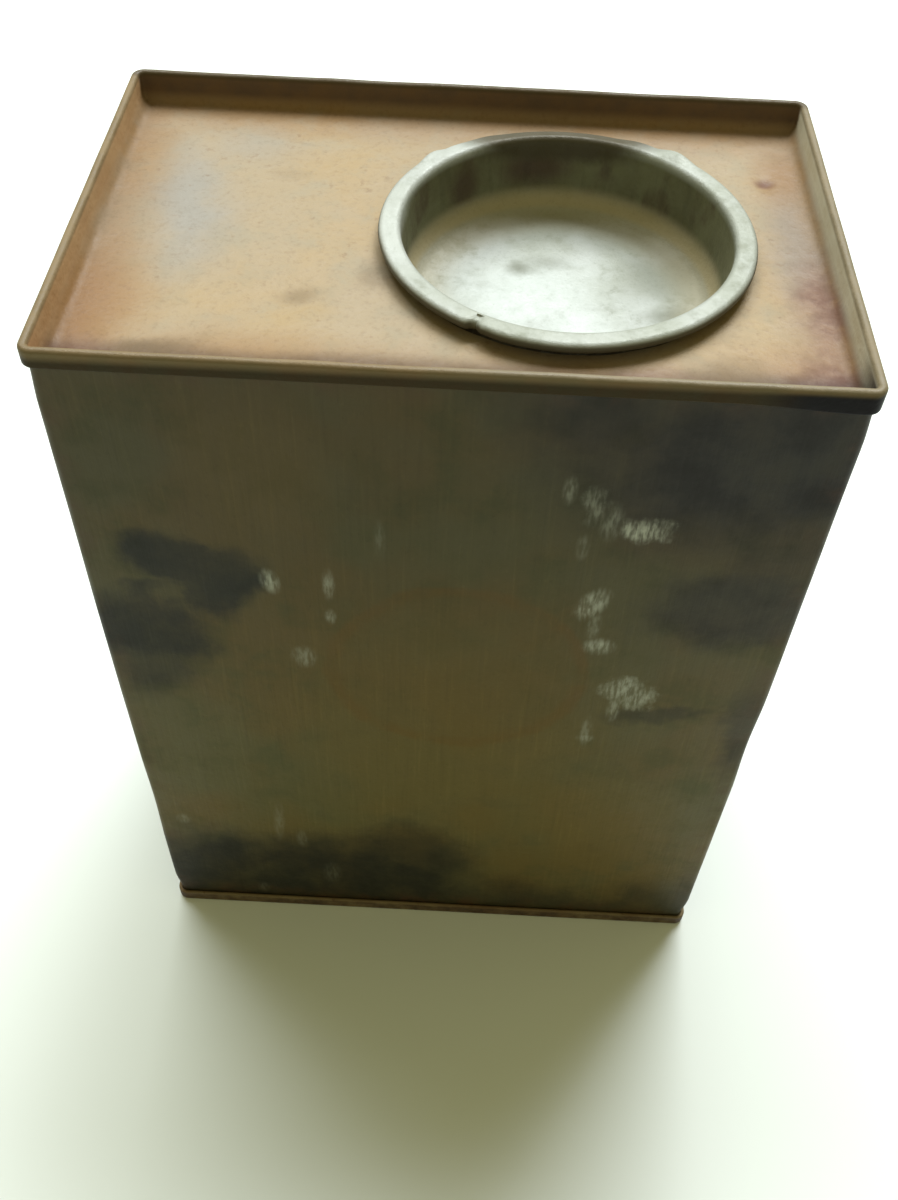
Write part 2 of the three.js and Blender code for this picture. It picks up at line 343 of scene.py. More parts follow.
def weather_wall(points, normals):
    """Spreads the sides, bows and dents the flat of the wall, and holds its edges at the seams."""
    z = points[:, 2]
    free = smoothstep(z, SEAM_HEIGHT, 20) * smoothstep(z, HEIGHT - SEAM_HEIGHT, HEIGHT - 20)
    corner = np.abs(np.abs(points[:, 0]) - WALL_X) + np.abs(np.abs(points[:, 1]) - WALL_Y)
    flat = smoothstep(corner, 1, 14)
    bow = 0.22 * ripple(points, 70, 3) + 0.08 * ripple(points, 24, 4) - 0.1
    push = bow * free * flat + 0.05 * ripple(points, 30, 5) * free
    for centre, radius, depth in WALL_DENTS:
        push -= depth * dimple(points, centre, np.array(radius, float)) * free
    moved = points + np.column_stack([normals * push[:, None], np.zeros(len(points))])
    held = smoothstep(z, SEAM_HEIGHT, 9) * smoothstep(z, HEIGHT - SEAM_HEIGHT, HEIGHT - 10)
    below_top = smoothstep(z, HEIGHT - 4, HEIGHT / 2)
    swell = SIDE_SWELL * (UPPER_SWELL + (1 - UPPER_SWELL) * below_top) * held
    x = moved[:, 0]
    x = x + np.sign(x) * swell * smoothstep(np.abs(x), SWELL_FROM, WALL_X - 4)
    limit = HALF_WIDTH - BOX_MARGIN
    moved[:, 0] = np.clip(x, -limit, limit)
    return moved


def build_wall():
    turn, _ = seam_point(1, 0)
    hook, _ = seam_point(2, 0)
    low = [(hook, END_TURN_DEPTH), *arc(turn, WALL_TURN_DEPTH, PITCH, 0, -180)]
    high = [(out, HEIGHT - z) for out, z in reversed(low)]
    middle = filled([*low, *high], ROW_SPACING)
    rings = []
    for face, side in enumerate(sheet_sides(middle)):
        for out, z in side:
            points = ring(LOOP.at(out), z)
            on_wall = SEAM_HEIGHT < z < HEIGHT - SEAM_HEIGHT
            if on_wall:
                points = weather_wall(points, LOOP.normals)
            if on_wall and face == 0:
                points[:, 1] += lock_seam_height(points)
            rings.append((face, points))
    right = [points for face, points in rings if face == 0]
    left = [points for face, points in rings if face == 1]
    return make_piece("wall", [*right, *reversed(left)], True, "tin", "wall_sheet")


def end_middle(panel):
    """The middle of an end's sheet from its flat panel outwards, with the crown at height 0."""
    inner, _ = seam_point(-1, 0)
    outer, _ = seam_point(3, 0)
    hook, _ = seam_point(2, 0)
    first, _ = seam_point(1, 0)
    crown = -HALF_SHEET - CROWN_RADIUS
    line = [
        *arc(inner - PAN_FILLET, panel + PAN_FILLET, PAN_FILLET, -90, 0),
        *arc(inner + CROWN_RADIUS, crown, CROWN_RADIUS, 180, 90),
        *arc(outer - CROWN_RADIUS, crown, CROWN_RADIUS, 90, 0),
        *arc(hook, -END_TURN_DEPTH, PITCH, 0, -180),
        (first, -WALL_TURN_DEPTH),
    ]
    return filled(line, 1.0)


def panel_rings(edge, centre, hole_radius, z):
    """Rings from a round hole out to the panel's rectangular edge."""
    outward = edge[:, :2] - centre
    reach = np.linalg.norm(outward, axis=1)[:, None]
    hole = centre + outward / reach * hole_radius
    shares = np.linspace(0, 1, PANEL_RINGS + 1)[:-1]
    return [ring(hole + (edge[:, :2] - hole) * share, z) for share in shares]


PANEL_DIMPLE = (47.1, 19.2)


def weather_top(points):
    """Waves the panel between the collar and the recess wall, and works the rim a little."""
    x, y, z = points.T
    from_collar = np.hypot(x - LID_CENTRE[0], y - LID_CENTRE[1]) - HOLE_RADIUS
    from_edge = np.minimum(WALL_X - np.abs(x), WALL_Y - np.abs(y))
    on_panel = smoothstep(from_collar, 2, 12) * smoothstep(from_edge, 2, 12)
    moved = points.copy()
    moved[:, 2] += (0.32 * ripple(points, 46, 11) + 0.1 * ripple(points, 15, 12)) * on_panel
    flat = np.column_stack([x, y, np.zeros(len(x))])
    moved[:, 2] -= 0.45 * dimple(flat, (*PANEL_DIMPLE, 0), 2.4)
    moved[:, 2] -= 0.35 * dimple(flat, (-22, -16, 0), 7)
    on_rim = smoothstep(z, HEIGHT - SEAM_HEIGHT, HEIGHT - 1) * smoothstep(from_edge, 1.5, 0)
    moved[:, 2] -= 0.14 * np.abs(ripple(points, 26, 13)) * on_rim
    outside = smoothstep(from_edge, 0.1, -0.15) * smoothstep(z, HEIGHT - 0.6, HEIGHT - 2)
    droop = smoothstep(x, 36, 53) * smoothstep(y, -20, -34)
    moved[:, 2] -= 0.8 * droop * outside
    return moved


def build_end(name, node, panel_depth, place, centre, hole_radius, weather):
    panel = -panel_depth - HALF_SHEET
    right, left = sheet_sides(end_middle(panel))
    faces = []
    for side, z in ((right, -panel_depth - SHEET), (left, -panel_depth)):
        sweep = swept(side)
        faces.append([*panel_rings(sweep[0], centre, hole_radius, z), *sweep])
    rings = [weather(place(points)) for points in [*reversed(faces[0]), *faces[1]]]
    return make_piece(name, rings, True, "tin", node)


def build_top():
    def place(points):
        return points + np.array([0, 0, HEIGHT])

    depth = HEIGHT - PANEL_TOP
    centre = LID_CENTRE[:2]
    return build_end("top", "top_end", depth, place, centre, HOLE_RADIUS, weather_top)


def build_base():
    def place(points):
        return points * np.array([1, 1, -1])

    def weather(points):
        inset = np.minimum(WALL_X - np.abs(points[:, 0]), WALL_Y - np.abs(points[:, 1]))
        moved = points.copy()
        moved[:, 2] += 0.3 * ripple(points, 50, 21) * smoothstep(inset, 2, 14)
        return moved

    depth = BASE_PANEL_TOP - SHEET
    return build_end("base", "bottom_end", depth, place, np.zeros(2), 0.2, weather)


# ---------------------------------------------------------------- collar and lid

def turned(side):
    """Rings round the lid's axis from a list of (radius, height)."""
    angles = np.linspace(0, 2 * math.pi, ROUND_STEPS, endpoint=False)
    circle = np.column_stack([np.cos(angles), np.sin(angles)])
    return [ring(LID_CENTRE[:2] + circle * radius, z) for radius, z in side]


def build_collar():
    foot = COLLAR_LOW[2] + HALF_SHEET
    curl = LID_TOP - SHEET - FLANGE_GAP - HALF_SHEET - COLLAR_CURL
    middle = filled(
        [
            (COLLAR_HIGH[0] - LID_CENTRE[0], foot),
            *arc(COLLAR_MIDDLE + COLLAR_CURL, foot + COLLAR_CURL, COLLAR_CURL, -90, -180),
            *arc(COLLAR_MIDDLE + COLLAR_CURL, curl, COLLAR_CURL, 180, -60),
        ],
        0.5,
    )
    right, left = sheet_sides(middle)
    rings = turned([*right, *reversed(left)])
    return make_piece("collar_ring", rings, True, "tin", "collar")


def build_collar_solder():
    inner = COLLAR_MIDDLE + HALF_SHEET + SOLDER_GAP
    base = PANEL_TOP + SOLDER_GAP
    hollow = arc(inner + SOLDER_LEG, base + SOLDER_LEG, SOLDER_LEG * 0.92, 262, 188)
    rings = turned([(inner, base), (inner + SOLDER_LEG, base), *hollow, (inner, base + SOLDER_LEG)])
    lumpy = []
    for points in rings:
        from_axis = points[:, :2] - LID_CENTRE[:2]
        reach = np.linalg.norm(from_axis, axis=1)
        lump = 0.16 * ripple(points, 9, 31) - 0.1
        share = np.clip((reach - inner) / SOLDER_LEG, 0, 1)
        height = np.clip((points[:, 2] - base) / SOLDER_LEG, 0, 1)
        moved = points.copy()
        moved[:, :2] += from_axis / reach[:, None] * (lump * share)[:, None]
        moved[:, 2] += lump * height
        lumpy.append(moved)
    return make_piece("collar_solder_ring", lumpy, True, "tin", "collar_solder")


NICK_ANGLE = math.radians(241)
KINKS = [
    (math.radians(140), 0.6, math.radians(7)),
    (math.radians(50), 0.7, math.radians(9)),
    (math.radians(64), 0.3, math.radians(9)),
    (math.radians(118), 0.2, math.radians(8)),
]


def bump(angle, centre, width):
    gap = np.abs((angle - centre + math.pi) % (2 * math.pi) - math.pi)
    return np.where(gap < width, (1 - (gap / width) ** 2) ** 2, 0)


def weather_lid(points):
    """Kinks the flange at the back, nicks its edge at the front, and dimples the floor of the pan."""
    offset = points[:, :2] - LID_CENTRE[:2]
    reach = np.linalg.norm(offset, axis=1)
    angle = np.arctan2(offset[:, 1], offset[:, 0])
    floor = LID_LOW[2] + SHEET
    on_flange = smoothstep(reach, PLUG_RADIUS + 0.4, LID_RADIUS - 1.2)
    moved = points.copy()

    nick = bump(angle, NICK_ANGLE, math.radians(2.4))
    step = bump(angle, NICK_ANGLE + math.radians(3), math.radians(5))
    inward = (1.0 * nick + 0.2 * step + 0.06 * (1 + ripple(points, 9, 42))) * on_flange
    direction = offset / np.maximum(reach, 1e-6)[:, None]
    moved[:, :2] -= direction * inward[:, None]

    back = smoothstep(np.sin(angle), 0.75, 0.9)
    waves = 1 + ripple(points, 16, 41)
    lift = -0.35 * back - 0.07 * waves - 0.35 * nick
    for kink, height, width in KINKS:
        lift += height * bump(angle, kink, width)
    high = smoothstep(points[:, 2], LID_TOP - 2.4, LID_TOP - 0.6)
    moved[:, 2] += lift * on_flange * high

    on_floor = smoothstep(reach, PLUG_RADIUS - 3, PLUG_RADIUS - 9)
    moved[:, 2] += 0.2 * ripple(points, 22, 43) * on_floor * (points[:, 2] < floor + 1)
    return moved


def build_lid():
    wall = PLUG_RADIUS - HALF_SHEET
    floor = LID_LOW[2] + HALF_SHEET
    flange = LID_TOP - HALF_SHEET
    curl = LID_RADIUS - HALF_SHEET - LID_CURL
    fillet = LID_FLOOR_FILLET
    middle = filled(
        [
            (0.3, floor),
            *arc(wall - PLUG_TAPER - fillet, floor + fillet, fillet, -90, 0),
            *arc(wall + LID_SHOULDER, flange - LID_SHOULDER, LID_SHOULDER, 180, 90),
            *arc(curl, flange - LID_CURL, LID_CURL, 90, -100),
        ],
        0.8,
    )
    right, left = sheet_sides(middle)
    rings = [weather_lid(points) for points in turned([*right, *reversed(left)])]
    return make_piece("lid", rings, False, "lid", "press_lid")


def build_lock_solder():
    """A bead of solder down the free edge of the lock seam."""
    low, high = box_mm("lock_seam_solder")
    width, depth = (high - low)[:2]
    rows = np.arange(low[2], high[2] + 0.01, 0.8)
    flat_sides = [(0, 0), (0.33, 0), (0.67, 0), (1, 0), (1, 0.5), (1, 1)]
    section = [*flat_sides, (0.72, 0.8), (0.42, 0.42), (0.18, 0.12)]
    rings = []
    for z in rows:
        points = np.array([(low[0] + u * width, low[1] + v * depth, z) for u, v in section])
        size = 0.72 + 0.24 * ripple(np.array([[0, 0, z]]), 14, 51)[0]
        ease = min(1, (z - low[2]) / 2 + 0.2, (high[2] - z) / 2 + 0.2)
        points[:, 0] = high[0] - (high[0] - points[:, 0]) * size * ease
        points[:, 1] = low[1] + (points[:, 1] - low[1]) * size * ease
        rings.append(points)
    return make_piece("lock_solder_bead", rings, False, "tin", "lock_seam_solder")


# ---------------------------------------------------------------- materials

def linear(red, green, blue):
    """A colour given as it shows on screen, 0 to 255, for a shader."""
    parts = [value / 255 for value in (red, green, blue)]
    return (*(p / 12.92 if p <= 0.04045 else ((p + 0.055) / 1.055) ** 2.4 for p in parts), 1)


SMALL_SPOT = 3.0  # a spot with a smaller radius keeps its place


class Paint:
    """A procedural material. Its places and sizes are in millimetres in the frame."""

    def __init__(self, name, metallic, specular, wander=1.5):
        self.material = bpy.data.materials.new(name)
        self.material.use_nodes = True
        self.nodes = self.material.node_tree.nodes
        self.links = self.material.node_tree.links
        self.nodes.clear()
        self.shader = self.nodes.new("ShaderNodeBsdfPrincipled")
        self.shader.inputs["Metallic"].default_value = metallic
        self.shader.inputs["Specular IOR Level"].default_value = specular
        output = self.nodes.new("ShaderNodeOutputMaterial")
        self.links.new(self.shader.outputs["BSDF"], output.inputs["Surface"])
        coordinates = self.nodes.new("ShaderNodeTexCoord")
        self.place = self.vector("MULTIPLY", coordinates.outputs["Object"], (1 / MM,) * 3)
        split = self.nodes.new("ShaderNodeSeparateXYZ")
        self.links.new(self.place, split.inputs[0])
        self.x, self.y, self.z = split.outputs
        self.bent = self.bend(wander, 12)

    def put(self, socket, value):
        if isinstance(value, bpy.types.NodeSocket):
            self.links.new(value, socket)
        else:
            socket.default_value = value

    def vector(self, operation, a, b):
        node = self.nodes.new("ShaderNodeVectorMath")
        node.operation = operation
        self.put(node.inputs[0], a)
        self.put(node.inputs[1], b)
        return node.outputs[0]

    def math(self, operation, a, b=0.0):
        node = self.nodes.new("ShaderNodeMath")
        node.operation = operation
        self.put(node.inputs[0], a)
        self.put(node.inputs[1], b)
        return node.outputs[0]

    def length(self, offset, weights):
        """The length of an offset whose parts are weighted first."""
        node = self.nodes.new("ShaderNodeVectorMath")
        node.operation = "LENGTH"
        self.links.new(self.vector("MULTIPLY", offset, weights), node.inputs[0])
        return node.outputs["Value"]

    def times(self, a, b):
        return self.math("MULTIPLY", a, b)

    def most(self, *values):
        total = values[0]
        for value in values[1:]:
            total = self.math("MAXIMUM", total, value)
        return total

    def noise_node(self, size, detail, seed, stretch, roughness):
        mapping = self.nodes.new("ShaderNodeMapping")
        self.links.new(self.place, mapping.inputs["Vector"])
        mapping.inputs["Scale"].default_value = [1 / (size * s) for s in stretch]
        mapping.inputs["Location"].default_value = (seed * 7.3, seed * 3.1, seed * 5.7)
        node = self.nodes.new("ShaderNodeTexNoise")
        self.links.new(mapping.outputs[0], node.inputs["Vector"])
        node.inputs["Scale"].default_value = 1
        node.inputs["Detail"].default_value = detail
        node.inputs["Roughness"].default_value = roughness
        return node

    def noise(self, size, detail=3, seed=0, stretch=(1, 1, 1), roughness=0.55):
        return self.noise_node(size, detail, seed, stretch, roughness).outputs["Fac"]

    def bend(self, amount, size):
        """The place, pushed about by noise so that the edges of spots wander."""
        colour = self.noise_node(size, 6, 5, (1, 1, 1), 0.62).outputs["Color"]
        centred = self.vector("SUBTRACT", colour, (0.5, 0.5, 0.5))
        pushed = self.vector("MULTIPLY", centred, (4 * amount,) * 3)
        return self.vector("ADD", self.place, pushed)

    def shade(self, share, colour, factor):
        """The colour, multiplied by a factor where the share is 1."""
        return self.mix(share, colour, self.vector("MULTIPLY", colour, factor))

    def step(self, value, low, high):
        """0 at low, 1 at high, with a smooth ramp between. High may be the smaller."""
        node = self.nodes.new("ShaderNodeMapRange")
        node.interpolation_type = "SMOOTHSTEP"
        flipped = high < low
        self.put(node.inputs["Value"], value)
        node.inputs["From Min"].default_value = min(low, high)
        node.inputs["From Max"].default_value = max(low, high)
        node.inputs["To Min"].default_value = 1 if flipped else 0
        node.inputs["To Max"].default_value = 0 if flipped else 1
        return node.outputs["Result"]

    def spot(self, centre, radii, tilt=(0, 0, 0), soft=0.6, strength=1.0):
        """1 inside an ellipsoid, falling to 0 at its surface over the soft share of its radius."""
        mapping = self.nodes.new("ShaderNodeMapping")
        mapping.vector_type = "TEXTURE"
        small = min(radii) < SMALL_SPOT
        self.links.new(self.place if small else self.bent, mapping.inputs["Vector"])
        mapping.inputs["Location"].default_value = centre
        mapping.inputs["Rotation"].default_value = [math.radians(a) for a in tilt]
        mapping.inputs["Scale"].default_value = radii
        gradient = self.nodes.new("ShaderNodeTexGradient")
        gradient.gradient_type = "SPHERICAL"
        self.links.new(mapping.outputs[0], gradient.inputs["Vector"])
        node = self.nodes.new("ShaderNodeMapRange")
        node.interpolation_type = "SMOOTHSTEP"
        self.links.new(gradient.outputs["Fac"], node.inputs["Value"])
        node.inputs["From Max"].default_value = soft
        node.inputs["To Max"].default_value = strength
        return node.outputs["Result"]

    def span(self, value, low, high):
        """Scales a 0 to 1 value to a range."""
        node = self.nodes.new("ShaderNodeMapRange")
        self.put(node.inputs["Value"], value)
        node.inputs["To Min"].default_value = low
        node.inputs["To Max"].default_value = high
        return node.outputs["Result"]

    def grey(self, value):
        """A colour whose three parts are the value."""
        node = self.nodes.new("ShaderNodeCombineXYZ")
        for socket in node.inputs:
            self.links.new(value, socket)
        return node.outputs[0]

    def mix(self, share, a, b):
        node = self.nodes.new("ShaderNodeMix")
        node.data_type = "RGBA"
        self.put(node.inputs["Factor"], share)
        self.put(node.inputs["A"], a)
        self.put(node.inputs["B"], b)
        return node.outputs["Result"]

    def tones(self, value, first, second, low=0.35, high=0.65):
        """A smooth change from one colour to another as the value rises from low to high."""
        return self.mix(self.step(value, low, high), linear(*first), linear(*second))

    def finish(self, colour, roughness, bumps):
        """Sets the shader. Bumps are (height, depth in millimetres) pairs, coarse first."""
        self.links.new(colour, self.shader.inputs["Base Color"])
        self.put(self.shader.inputs["Roughness"], roughness)
        normal = None
        for height, depth in bumps:
            node = self.nodes.new("ShaderNodeBump")
            node.inputs["Distance"].default_value = depth * MM
            self.links.new(height, node.inputs["Height"])
            if normal is not None:
                self.links.new(normal, node.inputs["Normal"])
            normal = node.outputs["Normal"]
        self.links.new(normal, self.shader.inputs["Normal"])
        return self.material


def front_spot(paint, x, z, radius_x, radius_z, tilt=0, soft=0.6, strength=1.0):
    """A spot on the front of the wall only. The tilt turns it clockwise as seen from the front."""
    reach = 9
    return paint.spot((x, -WALL_Y, z), (radius_x, reach, radius_z), (0, tilt, 0), soft, strength)


def wall_lacquer():
    paint = Paint("wall_lacquer", 0.0, 0.18, wander=3.4)
    broad = paint.noise(30, 3, 1)
    middling = paint.noise(9, 5, 2, roughness=0.62)
    streaks = paint.noise(2.2, 4, 3, (0.3, 0.3, 8))
    fine = paint.noise(0.7, 3, 4, (1, 1, 1.6))

    olive = linear(82, 77, 46)
    ochre = linear(88, 75, 39)
    grey_green = linear(70, 73, 48)
    colour = paint.mix(paint.step(broad, 0.4, 0.62), olive, ochre)
    colour = paint.mix(paint.times(paint.step(middling, 0.48, 0.7), 0.5), colour, grey_green)
    warmth = paint.most(
        front_spot(paint, 3, 70, 36, 48, strength=0.6),
        front_spot(paint, -26, 130, 14, 16, strength=0.6),
        front_spot(paint, 30, 44, 24, 20, strength=0.5),
    )
    colour = paint.mix(warmth, colour, linear(95, 82, 44))
    colour = paint.mix(ring_mark(paint), colour, linear(92, 74, 35))

    height = paint.span(paint.step(paint.z, 20, HEIGHT), 1.2, 0.62)
    colour = paint.vector("MULTIPLY", colour, paint.grey(height))

    purple = paint.most(
        front_spot(paint, 40, 136, 38, 28, 4, 0.8, 1.0),
        front_spot(paint, 50, 140, 18, 24, 0, 0.5, 1.0),
        front_spot(paint, 22, 144, 24, 16, 0, 0.9, 0.85),
        front_spot(paint, 45, 106, 19, 13, -6, 0.6, 0.8),
        front_spot(paint, 37, 77.5, 13, 3.2, -4, 0.7, 0.5),
        front_spot(paint, 53, 72, 7, 18, 0, 0.7, 0.6),
        front_spot(paint, 48, 122, 16, 22, 0, 0.7, 0.55),
    )
    purple = paint.times(purple, paint.span(paint.step(middling, 0.3, 0.62), 0.78, 1.0))
    colour = paint.mix(purple, colour, linear(31, 29, 26))

    stain = paint.most(
        front_spot(paint, -41, 111.5, 11, 7.5, 22, 0.5),
        front_spot(paint, -35, 105, 9.5, 11.5, 20, 0.5),
        front_spot(paint, -45, 101, 9, 6, -35, 0.6, 0.8),
        front_spot(paint, -48, 93, 13.5, 12.5, 22, 0.5),
        front_spot(paint, -48, 83, 11, 10, 10, 0.7, 0.75),
    )
    pocket = front_spot(paint, -42.5, 102.5, 3.2, 3.6, 0, 0.8, 0.6)
    stain = paint.math("SUBTRACT", stain, pocket)
    low_stain = paint.most(
        front_spot(paint, -30, 8, 48, 26, 0, 0.38, 1.0),
        front_spot(paint, -8, 20, 20, 19, 0, 0.5, 0.85),
        front_spot(paint, 16, 2, 36, 16, 0, 0.6, 0.8),
        front_spot(paint, 50, 2, 26, 20, 8, 0.6, 0.7),
        front_spot(paint, -50, 14, 20, 22, 0, 0.6, 0.85),
    )
    others = paint.most(
        paint.spot((WALL_X, 10, 100), (9, 16, 18), (20, 0, 0), 0.6, 0.8),
        paint.spot((WALL_X, -20, 14), (9, 22, 18), (0, 0, 0), 0.6, 0.8),
        paint.spot((-WALL_X, -6, 30), (9, 20, 24), (10, 0, 0), 0.6, 0.8),
        paint.spot((-WALL_X, 18, 118), (9, 12, 14), (0, 0, 0), 0.6, 0.7),
        paint.spot((-24, WALL_Y, 116), (20, 9, 16), (0, 12, 0), 0.6, 0.8),
        paint.spot((10, WALL_Y, 18), (36, 9, 22), (0, 0, 0), 0.6, 0.85),
        paint.spot((-40, WALL_Y, 60), (10, 9, 16), (0, 0, 0), 0.6, 0.6),
    )
    mottle = paint.span(paint.step(middling, 0.25, 0.6), 0.7, 1.0)
    patches = paint.step(paint.noise(7, 6, 13, roughness=0.6), 0.36, 0.62)
    others = paint.times(others, paint.span(patches, 0.55, 1.0))
    dark = paint.times(paint.most(stain, low_stain, others), mottle)
    colour = paint.mix(paint.times(dark, 0.95), colour, linear(31, 32, 26))

    colour = paint.shade(paint.times(paint.step(streaks, 0.52, 0.74), 0.22), colour, (0.62, 0.62, 0.62))
    colour = paint.shade(paint.times(paint.step(streaks, 0.46, 0.28), 0.2), colour, (1.6, 1.6, 1.7))
    colour = paint.shade(paint.times(paint.step(fine, 0.58, 0.8), 0.35), colour, (0.6, 0.6, 0.6))
    colour = paint.shade(paint.times(paint.step(fine, 0.42, 0.22), 0.25), colour, (1.5, 1.5, 1.5))

    rust = edge_rust(paint)
    rust_colour = paint.mix(paint.noise(1.2, 3, 8), linear(62, 42, 28), linear(82, 56, 36))
    colour = paint.mix(rust, colour, rust_colour)
    colour = paint.mix(scratch_marks(paint), colour, linear(150, 153, 138))

    roughness = paint.span(paint.most(paint.times(dark, 0.6), paint.step(middling, 0.4, 0.7)), 0.42, 0.6)
    bumps = [(middling, 0.12), (streaks, 0.04), (fine, 0.03)]
    return paint.finish(colour, roughness, bumps)


def ring_mark(paint):
    """A plain round patch that handling has left a little browner than the rest, darker at its rim."""
    nudge = paint.vector("MULTIPLY", paint.vector("SUBTRACT", paint.bent, paint.place), (0.35,) * 3)
    place = paint.vector("ADD", paint.place, nudge)
    distance = paint.length(paint.vector("SUBTRACT", place, (3, -WALL_Y, 86)), (1, 0.05, 1))
    inside = paint.step(distance, 22.6, 21.2)
    band = paint.times(inside, paint.span(paint.step(distance, 18.4, 20.4), 0.3, 1))
    front = paint.step(paint.y, 0, -20)
    worn = paint.span(paint.step(paint.noise(5, 3, 14), 0.35, 0.6), 0.4, 1)
    return paint.times(paint.times(band, front), paint.times(worn, 0.8))


def edge_rust(paint):
    """Rust along the seams and up the corners, broken up by noise."""
    low = paint.step(paint.z, 9, 2.5)
    high = paint.times(paint.step(paint.z, HEIGHT - 7, HEIGHT - 3), 0.5)
    near_x = paint.step(paint.math("ABSOLUTE", paint.x), WALL_X - 4.5, WALL_X - 0.3)
    near_y = paint.step(paint.math("ABSOLUTE", paint.y), WALL_Y - 4.5, WALL_Y - 0.3)
    corner = paint.times(paint.times(near_x, near_y), 0.5)
    wild = paint.step(paint.noise(6, 5, 7, roughness=0.7), 0.42, 0.68)
    return paint.times(paint.most(low, high, corner), paint.span(wild, 0.05, 0.75))


# Scratches on the front: x, z, half width, half height, tilt and strength.
SCRATCHES = [
    (28.8, 123.5, 3.2, 2.6, 0, 1.0),
    (21.3, 126, 2.0, 3.4, 0, 0.4),
    (23.6, 123.5, 1.6, 3.2, 0, 0.35),
    (17, 129.5, 0.9, 2.4, 0, 0.4),
    (20, 118, 0.9, 2.4, 0, 0.25),
    (22.9, 105.3, 1.9, 3.4, 25, 1.0),
    (23.8, 100, 1.0, 3.2, 0, 0.4),
    (25.1, 95, 2.2, 1.8, 0, 0.95),
    (30, 84.5, 2.8, 2.8, 0, 1.0),
    (33, 82, 2.6, 2.6, 0, 0.95),
    (29.7, 78, 1.0, 3.0, 0, 0.6),
    (25.8, 71, 1.0, 4.0, 0, 0.4),
    (25.9, 69, 1.4, 1.2, 0, 0.6),
    (-26.4, 107, 1.3, 2.4, -10, 0.9),
    (-17.5, 107, 0.9, 3, 0, 0.55),
    (-17.5, 99.3, 0.8, 1.6, 0, 0.6),
    (-22.3, 88.4, 1.8, 2.4, 0, 0.5),
    (-9.5, 117.5, 0.8, 3.4, 0, 0.15),
    (-49.7, 33.5, 1.3, 1.6, 0, 0.35),
    (-30.6, 34, 1.0, 6, 4, 0.25),
    (-26.5, 28, 1.0, 3, 0, 0.2),
    (-21, 14, 1.6, 4, 0, 0.15),
    (-36, 6, 1.2, 2, 0, 0.15),
]


def scratch_marks(paint):
    """Small sets of short upright strokes."""
    strokes = paint.step(paint.noise(1.7, 3, 9, (0.35, 0.35, 1.5), 0.5), 0.34, 0.68)
    places = []
    for x, z, half_x, half_z, tilt, strength in SCRATCHES:
        place = paint.spot((x, -WALL_Y, z), (half_x * 1.5, 6, half_z * 1.5), (0, tilt, 0), 0.8, strength)
        places.append(place)
    return paint.times(paint.most(*places), paint.span(strokes, 0.18, 1.0))


def top_lacquer():
    paint = Paint("top_lacquer", 0.0, 0.22, wander=2.4)
    broad = paint.noise(24, 4, 21)
    middling = paint.noise(6, 5, 22, roughness=0.65)
    fine = paint.noise(0.8, 4, 23, roughness=0.65)
    pits = paint.noise(1.5, 2, 24)
    inset_x = paint.math("SUBTRACT", WALL_X, paint.math("ABSOLUTE", paint.x))
    inset_y = paint.math("SUBTRACT", WALL_Y, paint.math("ABSOLUTE", paint.y))
    inset = paint.math("MINIMUM", inset_x, inset_y)

    colour, smudges = panel_colour(paint, broad, middling, fine, pits, inset)
    outside = paint.step(inset, 0.05, -0.3)
    seam_face = paint.times(outside, paint.step(paint.z, HEIGHT - 0.1, HEIGHT - 0.5))
    colour = rim_colour(paint, middling, seam_face, colour)
    sheen = paint.span(seam_face, 0.22, 0.06)
    paint.put(paint.shader.inputs["Specular IOR Level"], sheen)
    roughness = paint.span(paint.most(smudges, paint.step(middling, 0.4, 0.7)), 0.45, 0.66)
    return paint.finish(colour, roughness, [(broad, 0.4), (middling, 0.18), (pits, 0.06), (fine, 0.05)])


